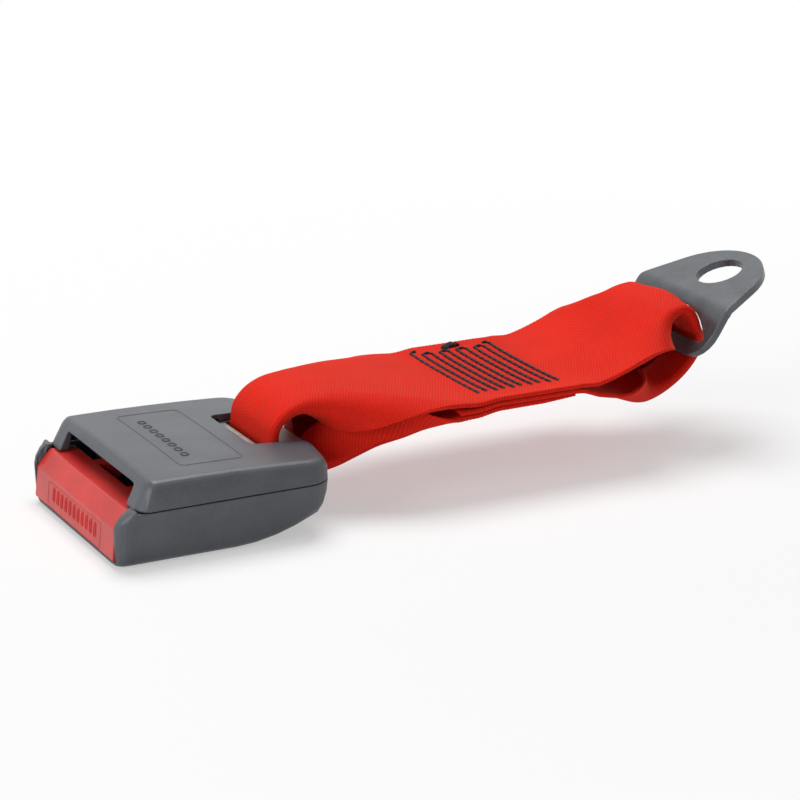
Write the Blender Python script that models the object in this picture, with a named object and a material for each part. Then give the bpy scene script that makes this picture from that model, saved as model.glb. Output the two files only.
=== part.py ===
"""Seat belt buckle on a short sewn webbing loop, with a bent steel anchor plate.

Design frame: X runs from the press button back to the anchor plate, Y is across the buckle, Z is up,
and the buckle's flat underside is Z = 0. Everything hangs on one empty that puts the centre of the
anchor's bolt hole, on the plate's upper face, at the world origin. Lengths are in metres.
"""

import math

import bmesh
import bpy
import numpy as np
from mathutils import Matrix, Vector

# Clearances
GAP = 0.0003
RIVET_GAP = 0.0001

# Housing, both covers
HOUSING_HALF_WIDTH = 0.0295
HOUSING_REAR_X = 0.0546
REAR_BULGE = 0.0034
WALL = 0.0020
PARTING_Z = 0.0135
FRONT_CORNER_RADIUS = 0.0032
REAR_CORNER_RADIUS = 0.0055
BULGE_START_X = 0.036

# Lower cover
LOWER_FRONT_X = 0.0003
LOWER_DRAFT = 0.0018
LOWER_EDGE_RADIUS = 0.0030
LOWER_NOSE_RADIUS = 0.0012
BOAT_START_X = 0.031
BOAT_TURN_X = 0.0500
BOAT_TURN_Z = 0.0049
EAR_TOP_Z = 0.0142
EAR_LEAN_START_Z = 0.0095
EAR_LEAN = 0.0034
EAR_BACK_X = 0.0049
BAY_FLOOR = 0.0012
STRAP_EXIT_Z = 0.0062
SPRING_STOP_X = 0.0156
SPRING_STOP_THICKNESS = 0.0014
SPRING_STOP_TOP_Z = 0.0110

# Upper cover
UPPER_FRONT_X = 0.0052
UPPER_FRONT_SLANT = 0.0034
UPPER_EDGE_Z = 0.0203
UPPER_CROWN = 0.0004
UPPER_DRAFT = 0.0013
UPPER_FALL_START_X = 0.014
UPPER_FALL = 0.0015
UPPER_EDGE_RADIUS = 0.0022
UPPER_NOSE_RADIUS = 0.0016
UPPER_TAIL_RADIUS = 0.0026
MOUTH_HALF_WIDTH = 0.0215
MOUTH_TOP_Z = 0.0184
MOUTH_CORNER = 0.0012
NOTCH_FRONT_X = 0.0410
NOTCH_FRONT_HALF = 0.0124
NOTCH_REAR_HALF = 0.0136
NOTCH_CORNER = 0.0022

# Press button
BUTTON_HALF_WIDTH = 0.0254
BUTTON_WALL = 0.0018
BUTTON_TOP_Z = 0.0132
BUTTON_BEND_Z = 0.0093
BUTTON_LEAN = 0.0008
BUTTON_TOP_X = 0.0042
BUTTON_BACK_X = 0.0105
BUTTON_TRAVEL = 0.0045
WEDGE_SLOPE = 0.5
WEDGE_INNER_Y = 0.0093
WEDGE_OUTER_Y = 0.0125

# Frame plate
FRAME_THICKNESS = 0.0018
FRAME_TOP_Z = 0.0177
FRAME_FRONT_X = 0.0112
FRAME_HALF_WIDTH = 0.0196
FRAME_SHOULDER_X = 0.0435
TAIL_HALF_WIDTH = 0.0158
TAIL_END_X = 0.0565
TAIL_CORNER = 0.0052
STRAP_SLOT_FRONT_X = 0.0451
STRAP_SLOT_BACK_X = 0.0495
STRAP_SLOT_HALF = 0.0127

# Latch bracket
BRACKET_SHEET = 0.0014
BRACKET_FRONT_X = 0.0175
BRACKET_BACK_X = 0.0436
BRACKET_FLOOR_END_X = 0.0325
BRACKET_LIFT = 0.0005
BRACKET_INNER_Y = 0.0136
BRACKET_REAR_WALL_Z = 0.0132
RIVET_RADIUS = 0.0015
RIVET_HEAD_RADIUS = 0.0021
RIVET_HEAD_HEIGHT = 0.0006
RIVET_X = (0.0212, 0.0392)

# Latch
LATCH_PIVOT_X = 0.0395
LATCH_PIVOT_Z = 0.0073
LATCH_THICKNESS = 0.0018
LATCH_HALF_WIDTH = 0.0129
LATCH_FRONT_X = 0.0200
LATCH_EAR_TOP_Z = 0.0110
LATCH_NOSE_HALF = 0.0060
LATCH_NOSE_TOP_Z = 0.0152
LATCH_NOSE_BACK_X = 0.0242
PIN_RADIUS = 0.0012
PIN_HEAD_RADIUS = 0.0022
PIN_HEAD_HEIGHT = 0.0008
LATCH_SPRING_X = 0.0300
LATCH_SPRING_RADIUS = 0.0028

# Ejector
EJECTOR_FRONT_X = 0.0262
EJECTOR_LENGTH = 0.0070
EJECTOR_THICKNESS = 0.0019
EJECTOR_LEG_X = 0.0275
EJECTOR_LEG_LENGTH = 0.0020
EJECTOR_LEG_HALF = 0.0045
EJECTOR_LEG_BOTTOM_Z = 0.0098

# Coil springs
SPRING_WIRE = 0.0005
BUTTON_SPRING_RADIUS = 0.0023
BUTTON_SPRING_Y = 0.0205
BUTTON_SPRING_Z = 0.0068
EJECTOR_SPRING_RADIUS = 0.0015

# Cover screws
SCREW_X = 0.0300
SCREW_Y = 0.0227
BOSS_RADIUS = 0.0026
SCREW_RADIUS = 0.0011
SCREW_HEAD_RADIUS = 0.0020
SCREW_HEAD_HEIGHT = 0.0009
SCREW_TIP_Z = 0.0172
COUNTERBORE_DEPTH = 0.0012

# Webbing
WEBBING_WIDTH = 0.0475
WEBBING_THICKNESS = 0.0011
LAYER_GAP = 0.0003
FOLD_ZONE = 0.0024
STRAP_SLACK = 0.0007
STRAP_FOLD = 179
STITCHED_TOP_Z = 0.0249
BUCKLE_CREASE = 0.0109
ANCHOR_CREASE = 0.0138

# Anchor plate
PLATE_THICKNESS = 0.0020
PLATE_BEND_X = 0.1705
PLATE_BEND_Z = 0.0380
BOLT_PART_ANGLE = math.radians(19)
STRAP_PART_ANGLE = math.radians(58)
BEND_ARC = 0.0036
PLATE_HALF_WIDTH = 0.0206
TIP_RADIUS = 0.0173
TIP_CENTRE = 0.0052
BOLT_HOLE_DISTANCE = 0.0120
BOLT_HOLE_RADIUS = 0.0063
PLATE_SLOT_TOP = 0.0024
PLATE_SLOT_BOTTOM = 0.0103
PLATE_SLOT_HALF = 0.0180
PLATE_END = 0.0145
PLATE_CORNER = 0.0080

BAY_BACK_X = BUTTON_BACK_X + BUTTON_TRAVEL + GAP
FRAME_BOTTOM_Z = FRAME_TOP_Z - FRAME_THICKNESS
BRACKET_TOP_Z = FRAME_BOTTOM_Z - RIVET_GAP
BRACKET_BOTTOM_Z = WALL + BRACKET_LIFT
BRACKET_FLOOR_Z = BRACKET_BOTTOM_Z + BRACKET_SHEET
BRACKET_OUTER_Y = BRACKET_INNER_Y + BRACKET_SHEET
LATCH_BOTTOM_Z = LATCH_PIVOT_Z - LATCH_THICKNESS / 2
EYE_RADIUS = PIN_RADIUS + GAP + 0.0007
LAYER_PITCH = WEBBING_THICKNESS + LAYER_GAP
BAR_OFFSET = FOLD_ZONE * 2 / math.pi + WEBBING_THICKNESS / 2 + STRAP_SLACK
TOP_LAYER_Z = STITCHED_TOP_Z - WEBBING_THICKNESS / 2
MIDDLE_LAYER_Z = TOP_LAYER_Z - LAYER_PITCH
BOTTOM_LAYER_Z = MIDDLE_LAYER_Z - LAYER_PITCH


# Scene and materials


def clear_scene():
    for obj in list(bpy.data.objects):
        bpy.data.objects.remove(obj, do_unlink=True)


def make_collection(name):
    collection = bpy.data.collections.new(name)
    bpy.context.scene.collection.children.link(collection)
    return collection


def make_material(name, colour, roughness, metallic=0.0):
    material = bpy.data.materials.new(name)
    material.use_nodes = True
    shader = material.node_tree.nodes["Principled BSDF"]
    shader.inputs["Base Color"].default_value = (*colour, 1.0)
    shader.inputs["Roughness"].default_value = roughness
    shader.inputs["Metallic"].default_value = metallic
    material.diffuse_color = (*colour, 1.0)
    return material


clear_scene()
PARTS = make_collection("seat_belt_buckle")
CUTTERS = make_collection("cutters")
CUTTERS.hide_render = True
GREY_PLASTIC = make_material("grey_plastic", (0.10, 0.105, 0.115), 0.45)
RED_PLASTIC = make_material("red_plastic", (0.62, 0.055, 0.04), 0.35)
ZINC_STEEL = make_material("zinc_steel", (0.72, 0.72, 0.70), 0.28, 1.0)
SPRING_STEEL = make_material("spring_steel", (0.45, 0.46, 0.48), 0.3, 1.0)
WHITE_PLASTIC = make_material("white_plastic", (0.75, 0.75, 0.72), 0.4)
RED_WEBBING = make_material("red_webbing", (0.60, 0.02, 0.015), 0.75)
COATED_STEEL = make_material("coated_steel", (0.06, 0.065, 0.07), 0.38, 0.3)


# Where each moving piece turns, and the frame that all of them share


def bend_point(s, height=0.0):
    """Plate point at signed distance s from the bend, along the plate, height above its upper face."""
    angle = plate_angle(s)
    start = min(max(s, -BEND_ARC / 2), BEND_ARC / 2)
    x = PLATE_BEND_X
    z = PLATE_BEND_Z
    steps = 24
    for index in range(steps):
        middle = start * (index + 0.5) / steps
        x += math.cos(plate_angle(middle)) * start / steps
        z += math.sin(plate_angle(middle)) * start / steps
    x += math.cos(angle) * (s - start)
    z += math.sin(angle) * (s - start)
    return x - math.sin(angle) * height, z + math.cos(angle) * height


def plate_angle(s):
    share = min(max(s / BEND_ARC + 0.5, 0.0), 1.0)
    return STRAP_PART_ANGLE + (BOLT_PART_ANGLE - STRAP_PART_ANGLE) * share


def make_empty(name, location, parent=None):
    empty = bpy.data.objects.new(name, None)
    empty.empty_display_size = 0.01
    empty.location = location
    empty.parent = parent
    PARTS.objects.link(empty)
    return empty


HOLE_X, HOLE_Z = bend_point(BOLT_HOLE_DISTANCE)
ROOT = make_empty("bolt_hole_frame", (-HOLE_X, 0.0, -HOLE_Z))
BAR_X = (STRAP_SLOT_BACK_X + TAIL_END_X) / 2
BAR_Z = FRAME_TOP_Z - FRAME_THICKNESS / 2
BAR_PIVOT = Vector((BAR_X, 0.0, BAR_Z))
ANCHOR_BAR_X, ANCHOR_BAR_Z = bend_point(-(PLATE_SLOT_BOTTOM + PLATE_END) / 2, -PLATE_THICKNESS / 2)
ANCHOR_PIVOT = Vector((ANCHOR_BAR_X, 0.0, ANCHOR_BAR_Z))
LATCH_PIVOT = Vector((LATCH_PIVOT_X, 0.0, LATCH_PIVOT_Z))
ORIGIN = Vector((0.0, 0.0, 0.0))


# Building blocks


def add_part(name, mesh, material, pivot=ORIGIN, smooth_angle=35):
    """A visible piece whose mesh is in the design frame; its own origin goes to the pivot."""
    mesh.transform(Matrix.Translation(-pivot))
    mesh.materials.clear()
    mesh.materials.append(material)
    mesh.shade_smooth()
    mesh.set_sharp_from_angle(angle=math.radians(smooth_angle))
    obj = bpy.data.objects.new(name, mesh)
    obj.parent = ROOT
    obj.location = pivot
    PARTS.objects.link(obj)
    return obj


def add_cutter(name, mesh):
    obj = bpy.data.objects.new(name, mesh)
    obj.parent = ROOT
    obj.hide_render = True
    obj.display_type = "WIRE"
    CUTTERS.objects.link(obj)
    return obj


def combine(obj, operation, *meshes):
    """Boolean modifiers on obj, one for each mesh given in the design frame."""
    for index, mesh in enumerate(meshes):
        cutter = add_cutter(f"{obj.name}_{operation.lower()}_{len(obj.modifiers)}_{index}", mesh)
        modifier = obj.modifiers.new(f"{operation.lower()}_{index}", "BOOLEAN")
        modifier.operation = operation
        modifier.object = cutter
    return obj


def finish_mesh(name, bm):
    bmesh.ops.remove_doubles(bm, verts=bm.verts, dist=1e-7)
    bmesh.ops.recalc_face_normals(bm, faces=bm.faces)
    mesh = bpy.data.meshes.new(name)
    bm.to_mesh(mesh)
    bm.free()
    return mesh


def box_mesh(x, y, z):
    """Box from the low and high value of each axis."""
    bm = bmesh.new()
    bmesh.ops.create_cube(bm, size=1.0)
    for vert in bm.verts:
        for axis, (low, high) in enumerate((x, y, z)):
            vert.co[axis] = (low + high) / 2 + vert.co[axis] * (high - low)
    return finish_mesh("box", bm)


def prism_mesh(outline, low, high, to_point):
    """Solid between two copies of an outline; to_point(u, v, w) puts them in space."""
    bm = bmesh.new()
    bottom = [bm.verts.new(to_point(u, v, low)) for u, v in outline]
    face = bm.faces.new(bottom)
    lifted = bmesh.ops.extrude_face_region(bm, geom=[face])["geom"]
    top = [item for item in lifted if isinstance(item, bmesh.types.BMVert)]
    shift = Vector(to_point(0.0, 0.0, high)) - Vector(to_point(0.0, 0.0, low))
    bmesh.ops.translate(bm, verts=top, vec=shift)
    bmesh.ops.triangulate(bm, faces=bm.faces)
    return finish_mesh("prism", bm)


def side_prism(outline, low_y, high_y):
    """Outline in X and Z, run across the buckle."""
    return prism_mesh(outline, low_y, high_y, lambda u, v, w: (u, w, v))


def plan_prism(outline, low_z, high_z):
    """Outline in X and Y, run upwards."""
    return prism_mesh(outline, low_z, high_z, lambda u, v, w: (u, v, w))


def end_prism(outline, low_x, high_x):
    """Outline in Y and Z, run along the buckle."""
    return prism_mesh(outline, low_x, high_x, lambda u, v, w: (w, u, v))


def arc(centre, radius, start_deg, end_deg, steps):
    points = []
    for index in range(steps + 1):
        angle = math.radians(start_deg + (end_deg - start_deg) * index / steps)
        points.append((centre[0] + radius * math.cos(angle), centre[1] + radius * math.sin(angle)))
    return points


def rounded_outline(corners, radii, steps=4):
    """Closed outline with each corner replaced by an arc of its own radius."""
    points = []
    count = len(corners)
    for index, corner in enumerate(corners):
        here = Vector(corner)
        before = (Vector(corners[index - 1]) - here).normalized()
        after = (Vector(corners[(index + 1) % count]) - here).normalized()
        radius = radii[index]
        if radius <= 0:
            points.append(tuple(here))
            continue
        half = before.angle(after) / 2
        centre = here + (before + after).normalized() * radius / math.sin(half)
        start = here + before * radius / math.tan(half) - centre
        end = here + after * radius / math.tan(half) - centre
        for step in range(steps + 1):
            direction = start.lerp(end, step / steps) if half > 1.5 else start.slerp(end, step / steps)
            points.append(tuple(centre + direction.normalized() * radius))
    return points


def lathe_mesh(profile, centre, axis, segments=16):
    """Turned solid: profile lists (distance along axis, radius), open at both ends on the axis."""
    direction = Vector(axis)
    side = direction.orthogonal().normalized()
    other = direction.cross(side)
    bm = bmesh.new()
    rings = []
    for along, radius in profile:
        ring = []
        for index in range(segments):
            angle = 2 * math.pi * index / segments
            offset = side * math.cos(angle) + other * math.sin(angle)
            ring.append(bm.verts.new(Vector(centre) + direction * along + offset * radius))
        rings.append(ring)
    close_loft(bm, rings)
    return finish_mesh("turned", bm)


def close_loft(bm, rings):
    """Faces between neighbouring rings of equal length, and a cap on each end."""
    for first, second in zip(rings, rings[1:]):
        for index, vert in enumerate(first):
            following = (index + 1) % len(first)
            bm.faces.new((vert, first[following], second[following], second[index]))
    bm.faces.new(rings[0])
    bm.faces.new(rings[-1])


def loft_mesh(rings):
    bm = bmesh.new()
    close_loft(bm, [[bm.verts.new(point) for point in ring] for ring in rings])
    bmesh.ops.triangulate(bm, faces=[face for face in bm.faces if len(face.verts) > 4])
    return finish_mesh("loft", bm)


def coil_spring(name, start, axis, length, radius, turns, pivot=ORIGIN):
    """Round wire coil as a thin curve, from start along axis."""
    per_turn = 10
    direction = Vector(axis)
    side = direction.orthogonal().normalized()
    other = direction.cross(side)
    curve = bpy.data.curves.new(name, "CURVE")
    curve.dimensions = "3D"
    curve.bevel_depth = SPRING_WIRE / 2
    curve.bevel_resolution = 1
    curve.use_fill_caps = True
    count = turns * per_turn + 1
    spline = curve.splines.new("POLY")
    spline.points.add(count - 1)
    for index in range(count):
        angle = 2 * math.pi * index / per_turn
        along = SPRING_WIRE / 2 + (length - SPRING_WIRE) * index / (count - 1)
        offset = side * math.cos(angle) + other * math.sin(angle)
        point = Vector(start) + direction * along + offset * (radius - SPRING_WIRE / 2) - pivot
        spline.points[index].co = (*point, 1.0)
    curve.materials.append(SPRING_STEEL)
    obj = bpy.data.objects.new(name, curve)
    obj.parent = ROOT
    obj.location = pivot
    PARTS.objects.link(obj)
    return obj


# Housing


def end_inset(distance, radius):
    """How far a rounded end has drawn in at this distance from it."""
    if distance >= radius:
        return 0.0
    return radius - math.sqrt(radius**2 - (radius - max(distance, 0.0)) ** 2)


def bulge(x, y):
    """The rear end is curved in plan, so stations near it reach further back on the centre line."""
    share = min(max((x - BULGE_START_X) / (HOUSING_REAR_X - BULGE_START_X), 0.0), 1.0)
    return REAR_BULGE * share**2 * (1 - (y / HOUSING_HALF_WIDTH) ** 2)


def lower_half_width(z):
    return HOUSING_HALF_WIDTH - LOWER_DRAFT * (PARTING_Z - z) / PARTING_Z


def upper_half_width(z):
    return HOUSING_HALF_WIDTH - UPPER_DRAFT * (z - PARTING_Z) / (UPPER_EDGE_Z - PARTING_Z)


def boat_bottom(x):
    """Underside height: flat, then a long sweep, then a steep round up to the rear."""
    if x <= BOAT_START_X:
        return 0.0
    if x <= BOAT_TURN_X:
        return BOAT_TURN_Z * ((x - BOAT_START_X) / (BOAT_TURN_X - BOAT_START_X)) ** 2
    reach = min((x - BOAT_TURN_X) / (HOUSING_REAR_X - BOAT_TURN_X), 1.0)
    return BOAT_TURN_Z + (PARTING_Z - BOAT_TURN_Z) * (1 - math.sqrt(1 - reach**2))


def ear_lean(x, z):
    """The ears' front edges curve back above EAR_LEAN_START_Z."""
    rise = max(z - EAR_LEAN_START_Z, 0.0) / (EAR_TOP_Z - EAR_LEAN_START_Z)
    fade = 1 - min(max((x - LOWER_FRONT_X) / (EAR_BACK_X - LOWER_FRONT_X), 0.0), 1.0)
    return EAR_LEAN * rise**2 * fade


def lower_ring(x, inset, top_z):
    """Section of the lower cover at station x: open U with a rounded bottom, closed along the top."""
    ahead = x - LOWER_FRONT_X - inset
    bottom = boat_bottom(x + inset) + inset + end_inset(ahead, LOWER_NOSE_RADIUS)
    narrow = inset + end_inset(ahead, FRONT_CORNER_RADIUS)
    narrow += end_inset(HOUSING_REAR_X - inset - x, REAR_CORNER_RADIUS)
    radius = max(min(LOWER_EDGE_RADIUS, (PARTING_Z - bottom) * 0.8) - inset * 0.5, 0.0004)
    side = []
    for z in (top_z, 0.0128, 0.0113, EAR_LEAN_START_Z):
        z = max(z, bottom + radius * 1.02)
        side.append((lower_half_width(z) - narrow, z))
    centre = (lower_half_width(bottom + radius) - narrow - radius, bottom + radius)
    side += arc(centre, radius, 0, -90, 5)
    points = side + [(-y, z) for y, z in reversed(side)]
    return [(x + bulge(x, y) + ear_lean(x, z), y, z) for y, z in points]


def lower_loft(inset, top_z):
    start = LOWER_FRONT_X + inset
    stop = HOUSING_REAR_X - inset
    stations = [start + FRONT_CORNER_RADIUS * share for share in (0.0, 0.06, 0.25, 0.6, 1.0)]
    stations += [0.0100, 0.0200, BOAT_START_X, 0.0360, 0.0410, 0.0455]
    stations += [stop - REAR_CORNER_RADIUS * share for share in (0.9, 0.6, 0.33, 0.14, 0.03)]
    return loft_mesh([lower_ring(x, inset, top_z) for x in stations])


def upper_edge_z(x):
    fall = max(x - UPPER_FALL_START_X, 0.0) / (HOUSING_REAR_X - UPPER_FALL_START_X)
    return UPPER_EDGE_Z - UPPER_FALL * fall**2


def front_slant(x, z):
    rise = (z - PARTING_Z) / (UPPER_EDGE_Z - PARTING_Z)
    fade = 1 - min(max((x - UPPER_FRONT_X) / 0.009, 0.0), 1.0)
    return UPPER_FRONT_SLANT * max(rise, 0.0) * fade


def upper_ring(x, inset, bottom_z):
    """Section of the upper cover at station x: inverted U with rounded shoulders and a crown."""
    ahead = x - UPPER_FRONT_X - inset
    behind = HOUSING_REAR_X - inset - x
    top = upper_edge_z(x) - inset - end_inset(ahead, UPPER_NOSE_RADIUS)
    top -= end_inset(behind, UPPER_TAIL_RADIUS)
    narrow = inset + end_inset(ahead, FRONT_CORNER_RADIUS) + end_inset(behind, REAR_CORNER_RADIUS)
    radius = max(UPPER_EDGE_RADIUS - inset * 0.5, 0.0004)
    shoulder = upper_half_width(top - radius) - narrow - radius
    side = [(upper_half_width(bottom_z) - narrow, bottom_z)]
    side += arc((shoulder, top - radius), radius, 0, 90, 5)
    for share in (0.66, 0.33):
        side.append((shoulder * share, top + UPPER_CROWN * (1 - share**2)))
    points = side + [(0.0, top + UPPER_CROWN)] + [(-y, z) for y, z in reversed(side)]
    return [(x + bulge(x, y) + front_slant(x, z), y, z) for y, z in points]


def upper_loft(inset, bottom_z):
    start = UPPER_FRONT_X + inset
    stop = HOUSING_REAR_X - inset
    stations = [start + FRONT_CORNER_RADIUS * share for share in (0.0, 0.06, 0.25, 0.6, 1.0)]
    stations += [0.0145, 0.0220, 0.0310, 0.0400, 0.0460]
    stations += [stop - REAR_CORNER_RADIUS * share for share in (0.9, 0.6, 0.33, 0.14, 0.03)]
    return loft_mesh([upper_ring(x, inset, bottom_z) for x in stations])


def screw_boss(y, low_z, high_z):
    return lathe_mesh([(low_z, BOSS_RADIUS), (high_z, BOSS_RADIUS)], (SCREW_X, y, 0), (0, 0, 1), 20)


def screw_hole(y, radius, low_z, high_z):
    return lathe_mesh([(low_z, radius), (high_z, radius)], (SCREW_X, y, 0), (0, 0, 1), 20)


def build_lower_cover():
    top = PARTING_Z - GAP / 2
    cover = add_part("lower_cover", lower_loft(0.0, EAR_TOP_Z), GREY_PLASTIC)
    bay_half = BUTTON_HALF_WIDTH + GAP
    above = EAR_TOP_Z * 2
    combine(
        cover,
        "DIFFERENCE",
        box_mesh((EAR_BACK_X, 0.08), (-0.04, 0.04), (top, above)),
        lower_loft(WALL, above),
        box_mesh((-0.01, BAY_BACK_X), (-bay_half, bay_half), (BAY_FLOOR, above)),
        box_mesh((BOAT_TURN_X, 0.08), (-NOTCH_REAR_HALF, NOTCH_REAR_HALF), (STRAP_EXIT_Z, above)),
    )
    for side in (-1, 1):
        inner = BUTTON_SPRING_Y - BUTTON_SPRING_RADIUS - SPRING_WIRE
        outer = HOUSING_HALF_WIDTH - LOWER_DRAFT - WALL / 2
        low_y, high_y = sorted((side * inner, side * outer))
        stop_x = (SPRING_STOP_X, SPRING_STOP_X + SPRING_STOP_THICKNESS)
        combine(
            cover,
            "UNION",
            box_mesh(stop_x, (low_y, high_y), (WALL / 2, SPRING_STOP_TOP_Z)),
            screw_boss(side * SCREW_Y, WALL / 2, top),
        )
    for side in (-1, 1):
        combine(
            cover,
            "DIFFERENCE",
            screw_hole(side * SCREW_Y, SCREW_RADIUS + GAP, -0.001, PARTING_Z + 0.001),
            screw_hole(side * SCREW_Y, SCREW_HEAD_RADIUS + GAP, -0.001, COUNTERBORE_DEPTH),
        )
    return cover


def notch_outline():
    rear_x = HOUSING_REAR_X + REAR_BULGE + 0.004
    corners = [
        (NOTCH_FRONT_X, -NOTCH_FRONT_HALF),
        (rear_x, -NOTCH_REAR_HALF),
        (rear_x, NOTCH_REAR_HALF),
        (NOTCH_FRONT_X, NOTCH_FRONT_HALF),
    ]
    return rounded_outline(corners, (NOTCH_CORNER, 0, 0, NOTCH_CORNER))


def mouth_outline():
    corners = [
        (-MOUTH_HALF_WIDTH, PARTING_Z - 0.003),
        (MOUTH_HALF_WIDTH, PARTING_Z - 0.003),
        (MOUTH_HALF_WIDTH, MOUTH_TOP_Z),
        (-MOUTH_HALF_WIDTH, MOUTH_TOP_Z),
    ]
    return rounded_outline(corners, (0, 0, MOUTH_CORNER, MOUTH_CORNER))


def build_upper_cover():
    bottom = PARTING_Z + GAP / 2
    below = PARTING_Z - 0.002
    pocket_z = FRAME_TOP_Z + RIVET_GAP + RIVET_HEAD_HEIGHT + GAP
    pocket_half = FRAME_HALF_WIDTH + 0.0006
    cover = add_part("upper_cover", upper_loft(0.0, bottom), GREY_PLASTIC)
    combine(
        cover,
        "DIFFERENCE",
        upper_loft(WALL, below),
        box_mesh((FRAME_FRONT_X - GAP, FRAME_SHOULDER_X + GAP), (-pocket_half, pocket_half), (below, pocket_z)),
        plan_prism(frame_outline(GAP), below, FRAME_TOP_Z + GAP),
        end_prism(mouth_outline(), 0.0, 0.0125),
        plan_prism(notch_outline(), below, 0.03),
    )
    for side in (-1, 1):
        combine(cover, "UNION", screw_boss(side * SCREW_Y, bottom, UPPER_EDGE_Z - WALL / 2))
    for side in (-1, 1):
        combine(cover, "DIFFERENCE", screw_hole(side * SCREW_Y, SCREW_RADIUS + RIVET_GAP, below, SCREW_TIP_Z + GAP))
    return cover


def build_cover_screws():
    for name, side in (("cover_screw_left", 1), ("cover_screw_right", -1)):
        seat = COUNTERBORE_DEPTH - RIVET_GAP
        profile = [
            (seat - SCREW_HEAD_HEIGHT, SCREW_HEAD_RADIUS * 0.8),
            (seat - SCREW_HEAD_HEIGHT * 0.6, SCREW_HEAD_RADIUS),
            (seat, SCREW_HEAD_RADIUS),
            (seat, SCREW_RADIUS),
            (SCREW_TIP_Z - 0.0015, SCREW_RADIUS),
            (SCREW_TIP_Z, SCREW_RADIUS * 0.4),
        ]
        add_part(name, lathe_mesh(profile, (SCREW_X, side * SCREW_Y, 0), (0, 0, 1)), ZINC_STEEL)


# Press button


def wedge_underside(x):
    """The wedges drive the latch's ears down, so their underside slopes up towards the rear."""
    return LATCH_EAR_TOP_Z + GAP + WEDGE_SLOPE * (x - LATCH_FRONT_X)


def build_press_button():
    floor_z = BAY_FLOOR + GAP
    face = [
        (0.0, floor_z),
        (BUTTON_BACK_X, floor_z),
        (BUTTON_BACK_X, BUTTON_TOP_Z),
    ]
    face += [(BUTTON_TOP_X, BUTTON_TOP_Z), (BUTTON_LEAN, BUTTON_BEND_Z)]
    outline = rounded_outline(face, (0.0004, 0, 0, 0.0006, 0.0006), 3)
    button = add_part("press_button", side_prism(outline, -BUTTON_HALF_WIDTH, BUTTON_HALF_WIDTH), RED_PLASTIC)
    wall = BUTTON_WALL
    hollow = [
        (wall, floor_z + wall),
        (BUTTON_BACK_X + wall, floor_z + wall),
        (BUTTON_BACK_X + wall, BUTTON_TOP_Z - wall * 0.8),
        (BUTTON_TOP_X + wall * 0.5, BUTTON_TOP_Z - wall * 0.8),
        (BUTTON_LEAN + wall * 1.1, BUTTON_BEND_Z),
    ]
    inner_half = BUTTON_HALF_WIDTH - wall
    combine(button, "DIFFERENCE", side_prism(hollow, -inner_half, inner_half))
    tip_x = LATCH_FRONT_X + 0.0015
    low_x = LATCH_FRONT_X - BUTTON_TRAVEL - 0.0005
    arm_z = BUTTON_TOP_Z - wall * 0.8
    wedge = [
        (BUTTON_BACK_X - 0.003, BUTTON_TOP_Z),
        (BUTTON_BACK_X - 0.003, arm_z),
        (low_x - 0.0025, arm_z),
        (low_x - 0.0008, wedge_underside(low_x)),
        (low_x, wedge_underside(low_x)),
        (tip_x, wedge_underside(tip_x)),
        (tip_x, BUTTON_TOP_Z),
    ]
    for side in (-1, 1):
        low_y, high_y = sorted((side * WEDGE_INNER_Y, side * WEDGE_OUTER_Y))
        combine(button, "UNION", side_prism(wedge, low_y, high_y))
    return button


def build_button_springs():
    start_x = BUTTON_WALL * 1.1 + BUTTON_LEAN + GAP
    length = SPRING_STOP_X - GAP - start_x
    for name, side in (("button_spring_left", 1), ("button_spring_right", -1)):
        start = (start_x, side * BUTTON_SPRING_Y, BUTTON_SPRING_Z)
        coil_spring(name, start, (1, 0, 0), length, BUTTON_SPRING_RADIUS, 6)


# Steel frame, bracket and rivets


def strap_slot_outline():
    corners = [
        (STRAP_SLOT_FRONT_X, -STRAP_SLOT_HALF),
        (STRAP_SLOT_BACK_X, -STRAP_SLOT_HALF),
        (STRAP_SLOT_BACK_X, STRAP_SLOT_HALF),
        (STRAP_SLOT_FRONT_X, STRAP_SLOT_HALF),
    ]
    return rounded_outline(corners, (0.0012,) * 4, 3)


def frame_outline(grow=0.0):
    """Frame plate in plan: wide front, necked tail with round corners. A pocket for it grows all round."""
    neck_x = FRAME_SHOULDER_X + 0.002 + grow
    half = [
        (FRAME_FRONT_X - grow, FRAME_HALF_WIDTH + grow),
        (FRAME_SHOULDER_X + grow, FRAME_HALF_WIDTH + grow),
        (neck_x, TAIL_HALF_WIDTH + grow),
        (TAIL_END_X + grow, TAIL_HALF_WIDTH + grow),
    ]
    corners = half + [(x, -y) for x, y in reversed(half)]
    radii = (0.002, 0, 0.0015, TAIL_CORNER)
    return rounded_outline(corners, radii + tuple(reversed(radii)))


def rivet_places():
    y = (BRACKET_OUTER_Y + FRAME_HALF_WIDTH) / 2
    return [(x, side * y) for x in RIVET_X for side in (1, -1)]


def rivet_hole(x, y, low_z, high_z):
    return lathe_mesh([(low_z, RIVET_RADIUS + RIVET_GAP), (high_z, RIVET_RADIUS + RIVET_GAP)], (x, y, 0), (0, 0, 1), 12)


def build_frame_plate():
    plate = add_part("frame_plate", plan_prism(frame_outline(), FRAME_BOTTOM_Z, FRAME_TOP_Z), ZINC_STEEL)
    combine(plate, "DIFFERENCE", plan_prism(strap_slot_outline(), 0.0, 0.03))
    for x, y in rivet_places():
        combine(plate, "DIFFERENCE", rivet_hole(x, y, FRAME_BOTTOM_Z - 0.001, FRAME_TOP_Z + 0.001))
    return plate


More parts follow.
